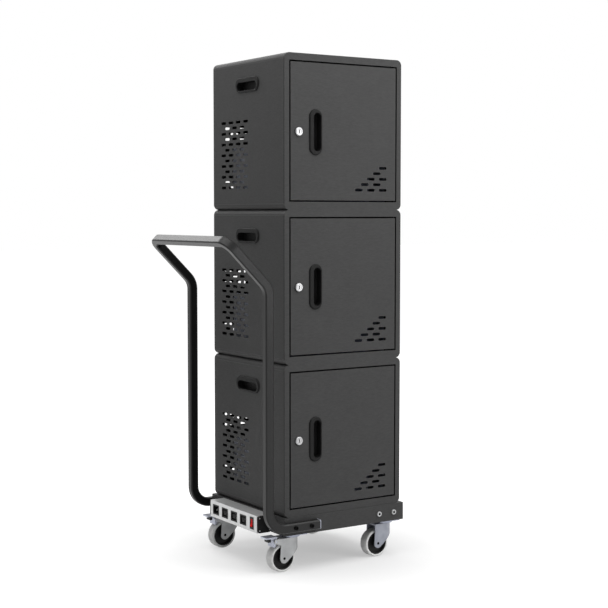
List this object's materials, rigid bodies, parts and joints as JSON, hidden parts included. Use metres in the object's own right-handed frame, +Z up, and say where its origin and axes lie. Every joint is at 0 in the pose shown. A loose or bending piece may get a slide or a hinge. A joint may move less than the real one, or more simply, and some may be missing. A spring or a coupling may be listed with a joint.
{
  "type": "mobile charging locker",
  "caption": "Stack of vented steel charging lockers with keyed doors and flush pulls on a castored base, with a bent tube push handle and a power strip at one end.",
  "frame": {"origin": "on the floor under the middle of the overall footprint", "axes": "+Z up, the doors face -Y, the push handle stands on the -X side"},
  "size_m": [0.5858, 0.442, 1.38],
  "materials": {
    "charcoal_coat": "matt powder coat with a fine texture",
    "pull_plastic": "fine-grained moulded plastic",
    "lock_chrome": "bright plated",
    "rack_coat": "smooth paint",
    "black_plastic": "matt moulded plastic",
    "cap_plastic": "moulded plastic",
    "zinc": "zinc plated",
    "black_steel": "black oxide",
    "strip_aluminium": "satin anodised",
    "red_plastic": "gloss moulded plastic",
    "grey_rubber": "light grey non-marking tread",
    "pedal_steel": "zinc plated pressing"
  },
  "bodies": {
    "frame": {"lower_left_side": "charcoal_coat", "lower_right_side": "charcoal_coat", "lower_front_frame": "charcoal_coat", "middle_left_side": "charcoal_coat", "middle_right_side": "charcoal_coat", "middle_front_frame": "charcoal_coat", "upper_left_side": "charcoal_coat", "upper_right_side": "charcoal_coat", "upper_front_frame": "charcoal_coat", "bottom_trays": "charcoal_coat", "top_covers": "charcoal_coat", "back_panels": "charcoal_coat", "front_rail": "charcoal_coat", "rear_rail": "charcoal_coat", "cross_members": "charcoal_coat", "push_handle": "charcoal_coat", "side_pulls": "pull_plastic", "device_racks": "rack_coat", "charging_hubs": "black_plastic", "strip_inlet": "black_plastic", "strip_outlets": "black_plastic", "strip_end_caps": "black_plastic", "switch_bezel": "black_plastic", "handle_end_caps": "cap_plastic", "rail_bolts": "zinc", "caster_plates": "zinc", "strip_screws": "zinc", "hinge_pins": "black_steel", "handle_bolts": "black_steel", "power_strip": "strip_aluminium"},
    "lower_door_leaf": {"lower_door": "charcoal_coat", "lower_door_pull": "pull_plastic", "lower_lock_housing": "lock_chrome"},
    "lower_lock": {"lower_lock_plug": "lock_chrome"},
    "middle_door_leaf": {"middle_door": "charcoal_coat", "middle_door_pull": "pull_plastic", "middle_lock_housing": "lock_chrome"},
    "middle_lock": {"middle_lock_plug": "lock_chrome"},
    "upper_door_leaf": {"upper_door": "charcoal_coat", "upper_door_pull": "pull_plastic", "upper_lock_housing": "lock_chrome"},
    "upper_lock": {"upper_lock_plug": "lock_chrome"},
    "front_left_swivel": {"front_left_fork": "zinc"},
    "front_left_wheel": {"front_left_tyre": "grey_rubber", "front_left_hub": "black_plastic"},
    "front_left_pedal": {"front_left_brake_pedal": "pedal_steel"},
    "rear_left_swivel": {"rear_left_fork": "zinc"},
    "rear_left_wheel": {"rear_left_tyre": "grey_rubber", "rear_left_hub": "black_plastic"},
    "rear_left_pedal": {"rear_left_brake_pedal": "pedal_steel"},
    "front_right_swivel": {"front_right_fork": "zinc"},
    "front_right_wheel": {"front_right_tyre": "grey_rubber", "front_right_hub": "black_plastic"},
    "rear_right_swivel": {"rear_right_fork": "zinc"},
    "rear_right_wheel": {"rear_right_tyre": "grey_rubber", "rear_right_hub": "black_plastic"},
    "rocker": {"rocker_switch": "red_plastic"}
  },
  "joints": [
    {"name": "lower_door_hinge", "type": "hinge", "parent": "frame", "child": "lower_door_leaf", "pos_m": [0.25689, -0.19, 0.355], "axis": [0, 0, 1], "range_deg": [0, 105]},
    {"name": "lower_lock_turn", "type": "hinge", "parent": "lower_door_leaf", "child": "lower_lock", "pos_m": [-0.05511, -0.185, 0.355], "axis": [0, 1, 0], "range_deg": [0, 90]},
    {"name": "middle_door_hinge", "type": "hinge", "parent": "frame", "child": "middle_door_leaf", "pos_m": [0.25689, -0.19, 0.765], "axis": [0, 0, 1], "range_deg": [0, 105]},
    {"name": "middle_lock_turn", "type": "hinge", "parent": "middle_door_leaf", "child": "middle_lock", "pos_m": [-0.05511, -0.185, 0.765], "axis": [0, 1, 0], "range_deg": [0, 90]},
    {"name": "upper_door_hinge", "type": "hinge", "parent": "frame", "child": "upper_door_leaf", "pos_m": [0.25689, -0.19, 1.175], "axis": [0, 0, 1], "range_deg": [0, 105]},
    {"name": "upper_lock_turn", "type": "hinge", "parent": "upper_door_leaf", "child": "upper_lock", "pos_m": [-0.05511, -0.185, 1.175], "axis": [0, 1, 0], "range_deg": [0, 90]},
    {"name": "front_left_swivel_turn", "type": "hinge", "parent": "frame", "child": "front_left_swivel", "pos_m": [-0.05911, -0.16, 0.09], "axis": [0, 0, 1], "continuous": true},
    {"name": "front_left_wheel_roll", "type": "hinge", "parent": "front_left_swivel", "child": "front_left_wheel", "pos_m": [-0.09111, -0.16, 0.0381], "axis": [0, 1, 0], "continuous": true},
    {"name": "front_left_brake_press", "type": "hinge", "parent": "front_left_swivel", "child": "front_left_pedal", "pos_m": [-0.11611, -0.16, 0.0865], "axis": [0, -1, 0], "range_deg": [0, 15]},
    {"name": "rear_left_swivel_turn", "type": "hinge", "parent": "frame", "child": "rear_left_swivel", "pos_m": [-0.05911, 0.16, 0.09], "axis": [0, 0, 1], "continuous": true},
    {"name": "rear_left_wheel_roll", "type": "hinge", "parent": "rear_left_swivel", "child": "rear_left_wheel", "pos_m": [-0.09111, 0.16, 0.0381], "axis": [0, 1, 0], "continuous": true},
    {"name": "rear_left_brake_press", "type": "hinge", "parent": "rear_left_swivel", "child": "rear_left_pedal", "pos_m": [-0.11611, 0.16, 0.0865], "axis": [0, -1, 0], "range_deg": [0, 15]},
    {"name": "front_right_swivel_turn", "type": "hinge", "parent": "frame", "child": "front_right_swivel", "pos_m": [0.25089, -0.16, 0.09], "axis": [0, 0, 1], "continuous": true},
    {"name": "front_right_wheel_roll", "type": "hinge", "parent": "front_right_swivel", "child": "front_right_wheel", "pos_m": [0.21889, -0.16, 0.0381], "axis": [0, 1, 0], "continuous": true},
    {"name": "rear_right_swivel_turn", "type": "hinge", "parent": "frame", "child": "rear_right_swivel", "pos_m": [0.25089, 0.16, 0.09], "axis": [0, 0, 1], "continuous": true},
    {"name": "rear_right_wheel_roll", "type": "hinge", "parent": "rear_right_swivel", "child": "rear_right_wheel", "pos_m": [0.21889, 0.16, 0.0381], "axis": [0, 1, 0], "continuous": true},
    {"name": "rocker_tip", "type": "hinge", "parent": "frame", "child": "rocker", "pos_m": [-0.14211, -0.101, 0.126], "axis": [0, -1, 0], "range_deg": [0, 18]}
  ]
}
